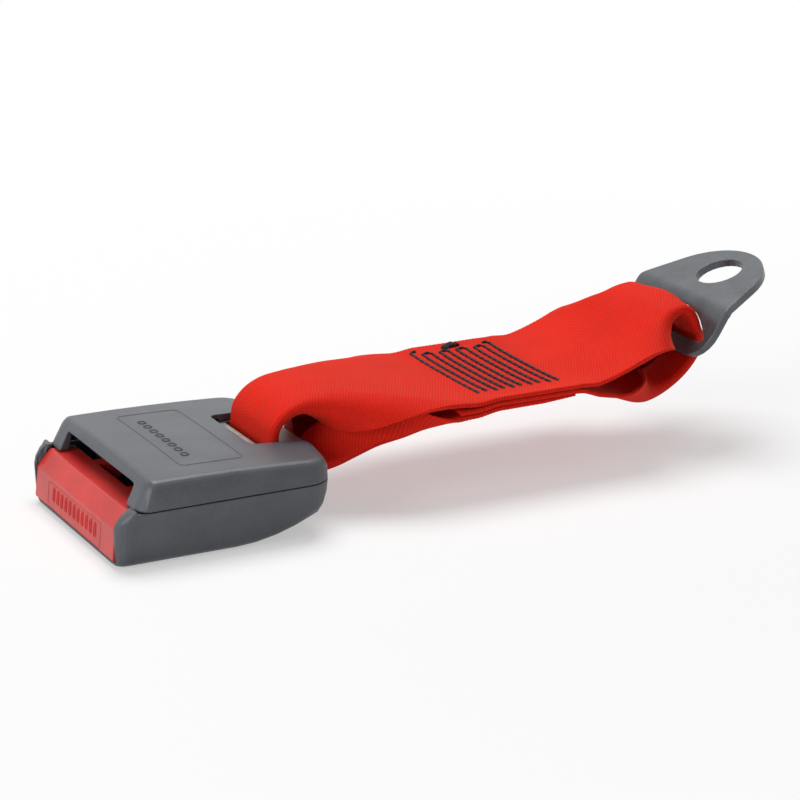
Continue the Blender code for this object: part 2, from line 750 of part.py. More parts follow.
def bracket_section():
    """Hat section, open upwards: flanges under the frame plate, walls, and a floor."""
    inner = BRACKET_INNER_Y
    outer = BRACKET_OUTER_Y
    flange = FRAME_HALF_WIDTH
    side = [
        (inner, BRACKET_FLOOR_Z),
        (inner, BRACKET_TOP_Z),
        (flange, BRACKET_TOP_Z),
        (flange, BRACKET_TOP_Z - BRACKET_SHEET),
        (outer, BRACKET_TOP_Z - BRACKET_SHEET),
        (outer, BRACKET_BOTTOM_Z),
    ]
    return side + [(-y, z) for y, z in reversed(side)]


def build_latch_bracket():
    bracket = add_part("latch_bracket", end_prism(bracket_section(), BRACKET_FRONT_X, BRACKET_BACK_X), ZINC_STEEL)
    wall_x = (BRACKET_BACK_X - BRACKET_SHEET, BRACKET_BACK_X)
    rear_half = BRACKET_INNER_Y + BRACKET_SHEET / 2
    combine(bracket, "UNION", box_mesh(wall_x, (-rear_half, rear_half), (BRACKET_FLOOR_Z, BRACKET_REAR_WALL_Z)))
    rear_x = BRACKET_BACK_X + GAP
    rear_z = boat_bottom(rear_x + WALL) + WALL + BRACKET_LIFT
    sweep = [
        (BRACKET_FLOOR_END_X, 0.0),
        (rear_x, 0.0),
        (rear_x, rear_z),
        (BRACKET_FLOOR_END_X, BRACKET_FLOOR_Z + BRACKET_SHEET / 4),
    ]
    combine(bracket, "DIFFERENCE", side_prism(sweep, -HOUSING_HALF_WIDTH, HOUSING_HALF_WIDTH))
    for x, y in rivet_places():
        combine(bracket, "DIFFERENCE", rivet_hole(x, y, BRACKET_TOP_Z - 0.003, BRACKET_TOP_Z + 0.001))
    pin_hole = lathe_mesh([(-0.03, PIN_RADIUS + RIVET_GAP), (0.03, PIN_RADIUS + RIVET_GAP)], LATCH_PIVOT, (0, 1, 0))
    combine(bracket, "DIFFERENCE", pin_hole)
    return bracket


def build_rivets():
    names = ("rivet_front_left", "rivet_front_right", "rivet_rear_left", "rivet_rear_right")
    low = BRACKET_TOP_Z - BRACKET_SHEET - RIVET_GAP
    high = FRAME_TOP_Z + RIVET_GAP
    profile = [
        (low - RIVET_HEAD_HEIGHT, RIVET_HEAD_RADIUS * 0.7),
        (low - RIVET_HEAD_HEIGHT * 0.4, RIVET_HEAD_RADIUS),
        (low, RIVET_HEAD_RADIUS),
        (low, RIVET_RADIUS),
        (high, RIVET_RADIUS),
        (high, RIVET_HEAD_RADIUS),
        (high + RIVET_HEAD_HEIGHT * 0.4, RIVET_HEAD_RADIUS),
        (high + RIVET_HEAD_HEIGHT, RIVET_HEAD_RADIUS * 0.7),
    ]
    for name, (x, y) in zip(names, rivet_places()):
        add_part(name, lathe_mesh(profile, (x, y, 0), (0, 0, 1), 12), ZINC_STEEL)


# Latch


def build_latch_plate():
    """Plate that pivots at the rear, with an upright front wall and a ramped catch nose."""
    low = LATCH_BOTTOM_Z
    high = low + LATCH_THICKNESS
    wall_x = LATCH_FRONT_X + LATCH_THICKNESS
    eye = arc((LATCH_PIVOT_X, LATCH_PIVOT_Z), EYE_RADIUS, -150, 150, 12)
    plate = [(LATCH_FRONT_X, low)] + eye
    plate += [(wall_x, high), (wall_x, LATCH_EAR_TOP_Z), (LATCH_FRONT_X, LATCH_EAR_TOP_Z)]
    latch = add_part(
        "latch_plate", side_prism(plate, -LATCH_HALF_WIDTH, LATCH_HALF_WIDTH), ZINC_STEEL, LATCH_PIVOT
    )
    nose = [
        (wall_x - 0.0006, low + 0.0004),
        (LATCH_NOSE_BACK_X, low + 0.0004),
        (LATCH_NOSE_BACK_X, LATCH_NOSE_TOP_Z),
        (LATCH_NOSE_BACK_X - 0.0010, LATCH_NOSE_TOP_Z),
        (wall_x - 0.0006, LATCH_NOSE_TOP_Z - 0.0030),
    ]
    combine(latch, "UNION", side_prism(nose, -LATCH_NOSE_HALF, LATCH_NOSE_HALF))
    bore = [(-0.03, PIN_RADIUS + RIVET_GAP), (0.03, PIN_RADIUS + RIVET_GAP)]
    combine(latch, "DIFFERENCE", lathe_mesh(bore, LATCH_PIVOT, (0, 1, 0)))
    return latch


def build_latch_pin():
    end = BRACKET_OUTER_Y + RIVET_GAP
    profile = [
        (-end - PIN_HEAD_HEIGHT, PIN_HEAD_RADIUS),
        (-end, PIN_HEAD_RADIUS),
        (-end, PIN_RADIUS),
        (end, PIN_RADIUS),
        (end, PIN_HEAD_RADIUS),
        (end + PIN_HEAD_HEIGHT, PIN_HEAD_RADIUS),
    ]
    add_part("latch_pivot_pin", lathe_mesh(profile, LATCH_PIVOT, (0, 1, 0)), ZINC_STEEL)


def build_latch_spring():
    start_z = BRACKET_FLOOR_Z + RIVET_GAP
    length = LATCH_BOTTOM_Z - RIVET_GAP - start_z
    coil_spring("latch_spring", (LATCH_SPRING_X, 0, start_z), (0, 0, 1), length, LATCH_SPRING_RADIUS, 3)


# Ejector


def build_ejector():
    """Slider in the tongue's path, with a leg that the spring pushes on."""
    top = FRAME_BOTTOM_Z - GAP
    low = top - EJECTOR_THICKNESS
    back = EJECTOR_FRONT_X + EJECTOR_LENGTH
    half = BRACKET_INNER_Y - GAP
    outline = [(EJECTOR_FRONT_X, -half), (back, -half), (back, half), (EJECTOR_FRONT_X, half)]
    plate = plan_prism(rounded_outline(outline, (0.0008, 0.002, 0.002, 0.0008), 3), low, top)
    ejector = add_part("ejector", plate, WHITE_PLASTIC)
    leg_x = (EJECTOR_LEG_X, EJECTOR_LEG_X + EJECTOR_LEG_LENGTH)
    leg = box_mesh(leg_x, (-EJECTOR_LEG_HALF, EJECTOR_LEG_HALF), (EJECTOR_LEG_BOTTOM_Z, low + 0.0005))
    return combine(ejector, "UNION", leg)


def build_ejector_spring():
    start_x = EJECTOR_LEG_X + EJECTOR_LEG_LENGTH + RIVET_GAP
    length = BRACKET_BACK_X - BRACKET_SHEET - RIVET_GAP - start_x
    centre_z = EJECTOR_LEG_BOTTOM_Z + EJECTOR_SPRING_RADIUS + 0.0001
    coil_spring("ejector_spring", (start_x, 0, centre_z), (1, 0, 0), length, EJECTOR_SPRING_RADIUS, 6)


# Webbing


def around(corner, turn):
    """Point of the strap's middle line where it turns round one corner of a bar."""
    angle = math.radians(turn)
    return corner[0] + BAR_OFFSET * math.cos(angle), corner[1] + BAR_OFFSET * math.sin(angle)


def strap_route():
    """Side-view route of the strip's middle, end to end: (x, z, fold in degrees, crease half-width).

    It starts as the bottom sewn layer, runs to the buckle, round its steel bar, back over the top,
    through the anchor plate, and ends as the middle sewn layer. Where it wraps a bar, its edges are
    folded inwards, so its middle line keeps BAR_OFFSET from the steel.
    """
    narrow = BUCKLE_CREASE
    wide = ANCHOR_CREASE
    to_buckle = [
        (0.1250, BOTTOM_LAYER_Z, 0, narrow),
        (0.0930, BOTTOM_LAYER_Z, 0, narrow),
        (0.0870, BOTTOM_LAYER_Z - 0.0008, 0, narrow),
        (0.0800, 0.0178, 2, narrow),
        (0.0740, 0.0148, 12, narrow),
        (0.0690, 0.0128, 36, narrow),
        (0.0640, 0.0113, 80, narrow),
        (0.0603, 0.0107, 130, narrow),
        (TAIL_END_X, 0.0106, 172, narrow),
        (STRAP_SLOT_BACK_X + 0.0017, 0.0119, STRAP_FOLD, narrow),
        *[(*around((STRAP_SLOT_BACK_X, FRAME_BOTTOM_Z), turn), STRAP_FOLD, narrow) for turn in (-120, -155)],
    ]
    over_top = [
        *[(*around((STRAP_SLOT_BACK_X, FRAME_TOP_Z), turn), STRAP_FOLD, narrow) for turn in (-180, -200)],
        (0.0476, 0.0225, STRAP_FOLD, narrow),
        (0.0503, 0.0257, STRAP_FOLD, narrow),
        (0.0550, 0.0280, 174, narrow),
        (0.0610, 0.0289, 160, narrow),
        (0.0670, 0.0290, 140, narrow),
        (0.0730, 0.0285, 92, narrow),
        (0.0780, 0.0279, 52, narrow),
        (0.0840, 0.0269, 24, narrow),
        (0.0900, 0.0258, 4, narrow),
        (0.0980, TOP_LAYER_Z + 0.0003, 0, narrow),
        (0.1040, TOP_LAYER_Z, 0, narrow),
        (0.1260, TOP_LAYER_Z, 0, wide),
        (0.1330, 0.0252, 0, wide),
        (0.1420, 0.0277, 0, wide),
        (0.1480, 0.0298, 12, wide),
        (0.1530, 0.0316, 45, wide),
        (0.1580, 0.0334, 106, wide),
    ]
    corners = [
        ((-PLATE_SLOT_BOTTOM, 0.0), (60, 25)),
        ((-PLATE_SLOT_BOTTOM, -PLATE_THICKNESS), (-10, -45, -80)),
        ((-PLATE_END, -PLATE_THICKNESS), (-100, -135)),
    ]
    round_anchor = [
        (*bend_point(*around(corner, turn)), STRAP_FOLD, wide) for corner, turns in corners for turn in turns
    ]
    to_end = [
        (0.1605, 0.0200, 179, wide),
        (0.1575, 0.0185, 176, wide),
        (0.1530, 0.0173, 158, wide),
        (0.1480, 0.0171, 104, wide),
        (0.1430, 0.0178, 46, wide),
        (0.1380, 0.0194, 10, wide),
        (0.1310, 0.0218, 0, wide),
        (0.1235, MIDDLE_LAYER_Z, 0, wide),
        (0.0915, MIDDLE_LAYER_Z, 0, narrow),
    ]
    return to_buckle + over_top + round_anchor + to_end


def smooth_route(route):
    """Stations on a centripetal Catmull-Rom curve through the route's points."""
    points = np.array(route)
    points = np.vstack([2 * points[0] - points[1], points, 2 * points[-1] - points[-2]])
    stations = []
    for index in range(1, len(points) - 2):
        group = points[index - 1 : index + 3]
        knots = [0.0]
        for first, second in zip(group, group[1:]):
            knots.append(knots[-1] + math.sqrt(np.linalg.norm(second[:2] - first[:2])))
        length = np.linalg.norm(group[2][:2] - group[1][:2])
        steps = 2 if length > 0.015 else max(1, round(length / 0.0024))
        for step in range(steps):
            stations.append(catmull_rom(group, knots, step / steps))
    stations.append(points[-2])
    return stations


def catmull_rom(group, knots, share):
    t = knots[1] + (knots[2] - knots[1]) * share
    level = list(group)
    for depth in (1, 2, 3):
        blended = []
        for index in range(len(level) - 1):
            low = knots[index] if depth < 3 else knots[1]
            high = knots[index + depth] if depth < 3 else knots[2]
            if depth == 2:
                low, high = knots[index], knots[index + 2]
            weight = (t - low) / (high - low)
            blended.append(level[index] * (1 - weight) + level[index + 1] * weight)
        level = blended
    return level[0]


def strap_half_section(fold, crease):
    """Middle line of one half: (across, inward, local angle), flat, then the fold zone, then the flap."""
    flap = WEBBING_WIDTH / 2 - crease - FOLD_ZONE
    points = [(0.0, 0.0, 0.0), (crease * 0.5, 0.0, 0.0), (crease, 0.0, 0.0)]
    steps = 5
    across, inward = crease, 0.0
    for step in range(steps):
        angle = fold * (step + 0.5) / steps
        across += math.cos(angle) * FOLD_ZONE / steps
        inward += math.sin(angle) * FOLD_ZONE / steps
        points.append((across, inward, fold * (step + 1) / steps))
    points.append((across + math.cos(fold) * flap, inward + math.sin(fold) * flap, fold))
    return points


def strap_ring(station, heading):
    """Closed section of the strip: its outer face from one edge to the other, then its inner face."""
    x, z, fold, crease = station
    outward = Vector((-heading[1], 0.0, heading[0]))
    half = strap_half_section(math.radians(max(fold, 0.0)), crease)
    line = [(-y, h, -angle) for y, h, angle in reversed(half[1:])] + half
    ring = []
    for side, order in ((1, line), (-1, list(reversed(line)))):
        offset = side * WEBBING_THICKNESS / 2
        for across, inward, angle in order:
            height = math.cos(angle) * offset - inward
            ring.append(Vector((x, across + math.sin(angle) * offset, z)) + outward * height)
    return ring


def build_webbing():
    stations = smooth_route(strap_route())
    rings = []
    for index, station in enumerate(stations):
        ahead = stations[min(index + 1, len(stations) - 1)]
        behind = stations[max(index - 1, 0)]
        heading = Vector((ahead[0] - behind[0], ahead[1] - behind[1])).normalized()
        rings.append(strap_ring(station, heading))
    return add_part("webbing", loft_mesh(rings), RED_WEBBING, ANCHOR_PIVOT, 60)


# Anchor plate


def anchor_outline():
    """Flat outline in (distance along the plate, across): round tip, tapered sides, round strap end."""
    reach = math.hypot(TIP_CENTRE, PLATE_HALF_WIDTH)
    tangent = math.atan2(PLATE_HALF_WIDTH, -TIP_CENTRE) - math.acos(TIP_RADIUS / reach)
    half = arc((TIP_CENTRE, 0.0), TIP_RADIUS, 0, math.degrees(tangent), 12)
    half += [(0.0, PLATE_HALF_WIDTH)]
    half += arc((PLATE_CORNER - PLATE_END, PLATE_HALF_WIDTH - PLATE_CORNER), PLATE_CORNER, 90, 180, 6)
    return half + [(s, -y) for s, y in reversed(half[1:])]


def anchor_slot():
    """Slot with a straight lower edge, which is the bar, and an arched upper edge."""
    steps = 14
    arch = []
    for index in range(steps + 1):
        across = PLATE_SLOT_HALF * (2 * index / steps - 1)
        rise = (PLATE_SLOT_BOTTOM - PLATE_SLOT_TOP - 0.0012) * abs(across / PLATE_SLOT_HALF) ** 3
        arch.append((-PLATE_SLOT_TOP - rise, across))
    corner = PLATE_SLOT_HALF - 0.0012
    return arch + [(-PLATE_SLOT_BOTTOM, corner), (-PLATE_SLOT_BOTTOM, -corner)]


def flat_plate_mesh(outlines, thickness):
    """Flat sheet with holes: a filled two-dimensional curve, made a mesh and welded."""
    curve = bpy.data.curves.new("flat_plate", "CURVE")
    curve.dimensions = "2D"
    curve.fill_mode = "BOTH"
    curve.extrude = thickness / 2
    for outline in outlines:
        spline = curve.splines.new("POLY")
        spline.points.add(len(outline) - 1)
        for point, (u, v) in zip(spline.points, outline):
            point.co = (u, v, 0.0, 1.0)
        spline.use_cyclic_u = True
    holder = bpy.data.objects.new("flat_plate", curve)
    PARTS.objects.link(holder)
    graph = bpy.context.evaluated_depsgraph_get()
    mesh = bpy.data.meshes.new_from_object(holder.evaluated_get(graph))
    bpy.data.objects.remove(holder, do_unlink=True)
    return mesh


def build_anchor_plate():
    hole = arc((BOLT_HOLE_DISTANCE, 0.0), BOLT_HOLE_RADIUS, 0, 345, 23)
    flat = flat_plate_mesh([anchor_outline(), hole, anchor_slot()], PLATE_THICKNESS)
    bm = bmesh.new()
    bm.from_mesh(flat)
    bmesh.ops.remove_doubles(bm, verts=bm.verts, dist=1e-6)
    steps = 6
    for index in range(steps + 1):
        cut = (BEND_ARC * (index / steps - 0.5), 0, 0)
        geometry = bm.verts[:] + bm.edges[:] + bm.faces[:]
        bmesh.ops.bisect_plane(bm, geom=geometry, dist=1e-7, plane_co=cut, plane_no=(1, 0, 0))
    for vert in bm.verts:
        s, across, height = vert.co
        x, z = bend_point(s, height - PLATE_THICKNESS / 2)
        vert.co = (x, across, z)
    bmesh.ops.triangulate(bm, faces=bm.faces)
    mesh = finish_mesh("anchor_plate", bm)
    return add_part("anchor_plate", mesh, COATED_STEEL)


build_lower_cover()
build_upper_cover()
build_cover_screws()
build_press_button()
build_button_springs()
build_frame_plate()
build_latch_bracket()
build_rivets()
build_latch_plate()
build_latch_pin()
build_latch_spring()
build_ejector()
build_ejector_spring()
build_webbing()
build_anchor_plate()
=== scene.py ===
"""Looks of the seat belt buckle: the woven strap, its sewing, the moulded marks and every material.

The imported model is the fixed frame. Places are in millimetres of the design frame, whose origin lies
under the press button on the plane of the buckle's flat underside; at() turns them into frame metres.
"""

import math

import bmesh
import bpy
import numpy as np
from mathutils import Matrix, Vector
from mathutils.bvhtree import BVHTree


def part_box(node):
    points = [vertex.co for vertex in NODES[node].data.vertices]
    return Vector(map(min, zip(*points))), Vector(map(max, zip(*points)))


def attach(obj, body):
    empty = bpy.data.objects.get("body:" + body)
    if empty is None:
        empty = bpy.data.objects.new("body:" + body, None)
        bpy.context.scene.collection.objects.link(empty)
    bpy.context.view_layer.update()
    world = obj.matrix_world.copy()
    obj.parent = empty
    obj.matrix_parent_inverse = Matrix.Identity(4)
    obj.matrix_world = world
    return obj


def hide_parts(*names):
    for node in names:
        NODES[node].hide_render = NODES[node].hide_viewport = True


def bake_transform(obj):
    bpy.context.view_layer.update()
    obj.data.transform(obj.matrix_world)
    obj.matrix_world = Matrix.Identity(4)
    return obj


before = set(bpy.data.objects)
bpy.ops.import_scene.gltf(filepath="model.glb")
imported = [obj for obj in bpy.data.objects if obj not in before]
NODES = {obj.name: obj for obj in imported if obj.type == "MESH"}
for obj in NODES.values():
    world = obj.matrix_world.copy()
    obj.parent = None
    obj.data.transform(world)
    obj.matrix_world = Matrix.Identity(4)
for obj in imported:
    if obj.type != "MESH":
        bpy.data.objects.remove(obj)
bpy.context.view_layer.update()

# Design frame
MM = 0.001
HOUSING_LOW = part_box("lower_cover")[0]
LOWER_COVER_FRONT_X = 0.3
ORIGIN = Vector((HOUSING_LOW.x - LOWER_COVER_FRONT_X * MM, 0.0, HOUSING_LOW.z))

# Strap, as in the solids
STRAP_WIDTH = 47.5
STRAP_THICKNESS = 1.1
LAYER_GAP = 0.2
STITCHED_TOP_Z = 24.9
FLAT_HALF = 10.9
TIGHT_CURL = 2.4
TURNED = 179
SLOT_BACK_X = 49.5
FRAME_TOP_Z = 17.7
FRAME_BOTTOM_Z = 15.9
BAR_OFFSET = TIGHT_CURL * 2 / math.pi + STRAP_THICKNESS / 2 + 0.7
PLATE_BEND_X = 170.5
PLATE_BEND_Z = 38.0
STRAP_START_X = 125.0

# Strap, where the cloth goes beyond the solids: rings and rims
RING_STEP = 0.55
TOOTH_DEPTH = 0.20
RIM_SHARE = 0.45
UV_PER_MM = 0.1
RIB_PITCH = 0.82
WARP_PITCH = 0.62
RIB_SLANT = 0.55

# Sewn layers' cup, their pressed end, the far edge beside the buckle and the crown in the plate's slot
SEWN_X = (96.0, 132.0)
SEWN_FADE = (8.0, 6.0)
SEWN_CUP = 1.0
CRUSHED_END = 0.5
CRUSH_REACH = 9.0
END_SHIFT = 0.9
UPPER_UNCURL = 0.22
UPPER_UNCURL_X = (56.0, 80.0)
LOWER_UNCURL = 0.32
LOWER_UNCURL_X = (57.0, 72.0)
SLOT_CROWN = 1.3
SLOT_CROWN_X = (160.5, 169.5)
SLOT_CROWN_LOW_Z = PLATE_BEND_Z - 9.0

# Sewing
ROW_X = (100.9, 103.3, 105.9, 108.3, 110.8, 113.2, 115.9, 118.3, 121.0, 123.5)
ROW_NEAR_Y = -16.9
ROW_FAR_Y = 17.6
THREAD_RADIUS = 0.36
THREAD_END = 0.72
THREAD_SIDES = 8
THREAD_LOBES = 0.22
THREAD_TWIST = 0.8
STITCH_STEPS = 7
STITCH_PITCH = 2.75
STITCH_LIFT = 0.26
UNDER_SINK = 0.18
KNOT_AT = (112.6, 20.4)
KNOT_SPANS = 16
KNOT_SLOPE = 0.22

# Moulded marks
LABEL_X = (19.7, 35.8)
LABEL_HALF_Y = 20.4
LABEL_CORNER = 1.6
LABEL_RIDGE = (0.42, 0.10)
PIP_X = 23.7
PIP_HALF_ROW = 13.2
PIP_COUNT = 8
PIP_HALF_SIZE = (0.78, 1.05)
PIP_CORNER = 0.76
PIP_RIDGE = (0.62, 0.16)
PRESS_PANEL_Y = 17.0
PRESS_PANEL_Z = (1.9, 8.1)
PRESS_PANEL_CORNER = 0.3
PRESS_PANEL_RIDGE = (0.24, 0.06)
GRIP_COUNT = 11
GRIP_HALF_ROW = 13.4
GRIP_Z = (3.9, 7.3)
GRIP_HALF_WIDTH = 0.42
GRIP_CORNER = 0.38
GRIP_RIDGE = (0.5, 0.22)
RIDGE_SINK = 0.12

# Camera of the photograph, and light
CAMERA_AT = (-221.64, -599.83, 238.10)
CAMERA_TURN = math.radians(62.72)
CAMERA_PITCH = math.radians(17.86)
CAMERA_LENS = 127.83
FLOOR_MIDDLE = (-0.09, 0.0, HOUSING_LOW.z)
FLOOR_REACH = 3.0
FLOOR_DROP = 0.0002
FLOOR_FADE = (0.10, 0.34)
NEAR_FLOOR_WHITE = 0.45
DIFFUSE_WORLD = 0.20


def at(x, y, z):
    """Frame position of a design point in millimetres."""
    return ORIGIN + Vector((x, y, z)) * MM


# Node materials


class Shader:
    """A Principled material and the few calls that wire nodes into it."""

    def __init__(self, name, colour, roughness, metallic=0.0):
        self.material = bpy.data.materials.new(name)
        self.material.use_nodes = True
        self.tree = self.material.node_tree
        self.bsdf = self.tree.nodes["Principled BSDF"]
        self.set("Base Color", (*colour, 1.0))
        self.set("Roughness", roughness)
        self.set("Metallic", metallic)

    def set(self, socket, value):
        self.bsdf.inputs[socket].default_value = value

    def link(self, output, socket):
        self.tree.links.new(output, self.bsdf.inputs[socket])

    def add(self, kind, inputs=(), **settings):
        node = self.tree.nodes.new(kind)
        for key, value in settings.items():
            setattr(node, key, value)
        for key, value in dict(inputs).items():
            if isinstance(value, bpy.types.NodeSocket):
                self.tree.links.new(value, node.inputs[key])
            else:
                node.inputs[key].default_value = value
        return node

    def math(self, operation, first, second=0.0):
        return self.add("ShaderNodeMath", {0: first, 1: second}, operation=operation).outputs[0]

    def noise(self, vector, scale, detail=2.0, roughness=0.5):
        inputs = {"Vector": vector, "Scale": scale, "Detail": detail, "Roughness": roughness}
        return self.add("ShaderNodeTexNoise", inputs).outputs["Fac"]

    def position(self, stretch=(1.0, 1.0, 1.0)):
        where = self.add("ShaderNodeTexCoord").outputs["Object"]
        return self.add("ShaderNodeMapping", {"Vector": where, "Scale": stretch}).outputs["Vector"]

    def ramp(self, value, stops):
        """Colour ramp from (position, colour) pairs."""
        node = self.add("ShaderNodeValToRGB", {"Fac": value})
        elements = node.color_ramp.elements
        while len(elements) < len(stops):
            elements.new(0.5)
        for element, (place, colour) in zip(elements, stops):
            element.position = place
            element.color = (*colour, 1.0)
        return node.outputs["Color"]

    def span(self, value, low, high):
        """The value's 0 to 1 mapped to low to high."""
        inputs = {"Value": value, "To Min": low, "To Max": high}
        return self.add("ShaderNodeMapRange", inputs).outputs["Result"]

    def bump(self, height, strength, distance, normal=None):
        inputs = {"Height": height, "Strength": strength, "Distance": distance}
        if normal is not None:
            inputs["Normal"] = normal
        return self.add("ShaderNodeBump", inputs).outputs["Normal"]


def soft_edges(shader, radius):
    """Edge rounding too small for the mesh: its normal, and a mask that is 1 along the edges."""
    rounded = shader.add("ShaderNodeBevel", {"Radius": radius}, samples=4).outputs["Normal"]
    flat = shader.add("ShaderNodeNewGeometry").outputs["Normal"]
    alike = shader.add("ShaderNodeVectorMath", {0: rounded, 1: flat}, operation="DOT_PRODUCT")
    inputs = {"Value": alike.outputs["Value"], "From Min": 0.995, "From Max": 0.86}
    return rounded, shader.add("ShaderNodeMapRange", inputs).outputs["Result"]


def edge_highlight_and_wear(shader, colour, edge_colour, mask):
    """Colour output that goes over to the lighter edge colour where the mask is 1: a painted highlight
    along edges, which the coated plate also uses for its rubbed rim.
    """
    mix = shader.add("ShaderNodeMix", {0: mask, 6: colour}, data_type="RGBA")
    mix.inputs[7].default_value = (*edge_colour, 1.0)
    return mix.outputs[2]


def shade(colour, factor):
    return tuple(min(channel * factor, 1.0) for channel in colour)


def moulded_plastic(name, colour, roughness, grain):
    """Moulded plastic: fine spark-eroded grain, faint flow mottling, slightly uneven gloss and a painted
    highlight along the edges.
    """
    shader = Shader(name, colour, roughness)
    where = shader.position()
    rounded, edge = soft_edges(shader, 0.0006)
    mottle = shader.noise(where, 90.0, 3.0)
    fine = shader.noise(where, 1900.0, 3.0, 0.65)
    tone = shader.math("ADD", shader.math("MULTIPLY", mottle, 0.6), shader.math("MULTIPLY", fine, 0.4))
    cast = shader.ramp(tone, [(0.35, shade(colour, 0.80)), (0.65, shade(colour, 1.20))])
    # Edges painted lighter: a painted highlight along the rounded edges of the moulding.
    shader.link(edge_highlight_and_wear(shader, cast, shade(colour, 1.35), edge), "Base Color")
    shader.link(shader.span(fine, roughness - 0.10, roughness + 0.10), "Roughness")
    shader.link(shader.bump(fine, grain, 0.00012, rounded), "Normal")
    return shader.material


def plated_steel(name, colour, roughness):
    """Zinc plated sheet: rolling lines along X, cloudy plating, small stains and a painted highlight along
    the edges.
    """
    shader = Shader(name, colour, roughness, 1.0)
    where = shader.position()
    rounded, edge = soft_edges(shader, 0.0003)
    lines = shader.noise(shader.position((1.0, 30.0, 30.0)), 60.0, 4.0, 0.6)
    cloud = shader.noise(where, 160.0, 4.0)
    cast = shader.ramp(cloud, [(0.3, shade(colour, 0.75)), (0.7, shade(colour, 1.10))])
    # Edges painted lighter: a painted highlight along the sheet's edges.
    shader.link(edge_highlight_and_wear(shader, cast, shade(colour, 1.4), edge), "Base Color")
    shader.link(shader.span(lines, roughness - 0.08, roughness + 0.12), "Roughness")
    shader.link(shader.bump(lines, 0.15, 0.00005, rounded), "Normal")
    return shader.material


def coated_steel(name, colour, roughness):
    """Stamped plate with a dark satin coating: orange peel, dusty mottling, specks and a patchy light rim,
    partly rubbed coating and partly painted highlight.
    """
    shader = Shader(name, colour, roughness, 0.35)
    rounded, edge = soft_edges(shader, 0.0005)
    where = shader.position()
    dust = shader.noise(where, 140.0, 5.0, 0.65)
    peel = shader.noise(where, 900.0, 2.0)
    specks = shader.noise(where, 1500.0, 1.0)
    tone = shader.math("ADD", shader.math("MULTIPLY", dust, 0.75), shader.math("MULTIPLY", specks, 0.25))
    cast = shader.ramp(tone, [(0.35, shade(colour, 0.75)), (0.68, shade(colour, 1.35))])
    # Patchy light rim: rubbed coating, and a painted highlight along the plate's edges.
    rim_rub_and_highlight = shader.math("MULTIPLY", edge, shader.noise(where, 420.0, 3.0))
    shader.link(edge_highlight_and_wear(shader, cast, shade(colour, 3.2), rim_rub_and_highlight), "Base Color")
    shader.link(shader.span(dust, roughness - 0.05, roughness + 0.15), "Roughness")
    shader.link(shader.bump(peel, 0.25, 0.00008, rounded), "Normal")
    shader.set("Specular IOR Level", 0.8)
    return shader.material


def woven_strap(name, colour):
    """Belt webbing: twill ribs that slant towards both edges, warp lines, rib crests painted paler and
    hollows darker as painted highlight and shade, and random blotches.
    """
    shader = Shader(name, colour, 0.72)
    weave = shader.add("ShaderNodeUVMap", uv_map="weave").outputs["UV"]
    parts = shader.add("ShaderNodeSeparateXYZ", {"Vector": weave})
    across = shader.math("DIVIDE", parts.outputs["X"], UV_PER_MM)
    along = shader.math("DIVIDE", parts.outputs["Y"], UV_PER_MM)
    slant = shader.math("MULTIPLY", shader.math("ABSOLUTE", across), RIB_SLANT)
    turn = 2 * math.pi
    twill = shader.math("SINE", shader.math("MULTIPLY", shader.math("ADD", along, slant), turn / RIB_PITCH))
    warp = shader.math("SINE", shader.math("MULTIPLY", across, turn / WARP_PITCH))
    height = shader.math("MULTIPLY", shader.math("ADD", twill, shader.math("MULTIPLY", warp, 0.55)), 0.32)
    height = shader.math("ADD", height, 0.5)
    fuzz = shader.noise(shader.position(), 1800.0, 3.0, 0.7)
    blotch = shader.noise(shader.position(), 60.0, 3.0)
    # Tone mixes the weave height (painted highlight on the rib crests, painted shade in the hollows) with
    # random dye blotches.
    tone = shader.math("ADD", shader.math("MULTIPLY", height, 0.55), shader.math("MULTIPLY", blotch, 0.45))
    low, high = shade(colour, 0.78), shade(colour, 1.18)
    shader.link(shader.ramp(tone, [(0.2, low), (0.8, high)]), "Base Color")
    shader.link(shader.span(fuzz, 0.60, 0.85), "Roughness")
    woven = shader.bump(height, 0.55, 0.00012)
    shader.link(shader.bump(fuzz, 0.25, 0.00006, woven), "Normal")
    shader.set("Sheen Weight", 0.16)
    shader.set("Sheen Roughness", 0.4)
    shader.set("Sheen Tint", (1.0, 0.32, 0.16, 1.0))
    shader.set("Specular IOR Level", 0.12)
    return shader.material


def twisted_thread(name, colour):
    """Bonded polyester thread: fibre streaks and a soft shine."""
    shader = Shader(name, colour, 0.55)
    fibre = shader.noise(shader.position(), 3200.0, 2.0)
    shader.link(shader.ramp(fibre, [(0.3, shade(colour, 0.6)), (0.7, shade(colour, 1.7))]), "Base Color")
    shader.link(shader.bump(fibre, 0.3, 0.00005), "Normal")
    shader.set("Specular IOR Level", 0.25)
    return shader.material


GREY_PLASTIC = moulded_plastic("grey_plastic", (0.068, 0.075, 0.087), 0.38, 0.45)
# Near-black plastic for the raised pips: painted shade standing in for the shadow inside recessed ovals.
RECESS_SHADE_PLASTIC = moulded_plastic("grey_plastic_painted_recess_shade", (0.016, 0.017, 0.019), 0.50, 0.15)
RED_PLASTIC = moulded_plastic("red_plastic", (0.56, 0.022, 0.016), 0.34, 0.12)
WHITE_PLASTIC = moulded_plastic("white_plastic", (0.74, 0.74, 0.70), 0.42, 0.10)
ZINC_STEEL = plated_steel("zinc_steel", (0.40, 0.40, 0.39), 0.42)
SPRING_STEEL = plated_steel("spring_steel", (0.45, 0.46, 0.48), 0.30)
COATED_STEEL = coated_steel("coated_steel", (0.066, 0.073, 0.082), 0.30)
RED_WEBBING = woven_strap("red_webbing", (0.72, 0.016, 0.006))
DARK_THREAD = twisted_thread("dark_thread", (0.022, 0.012, 0.016))

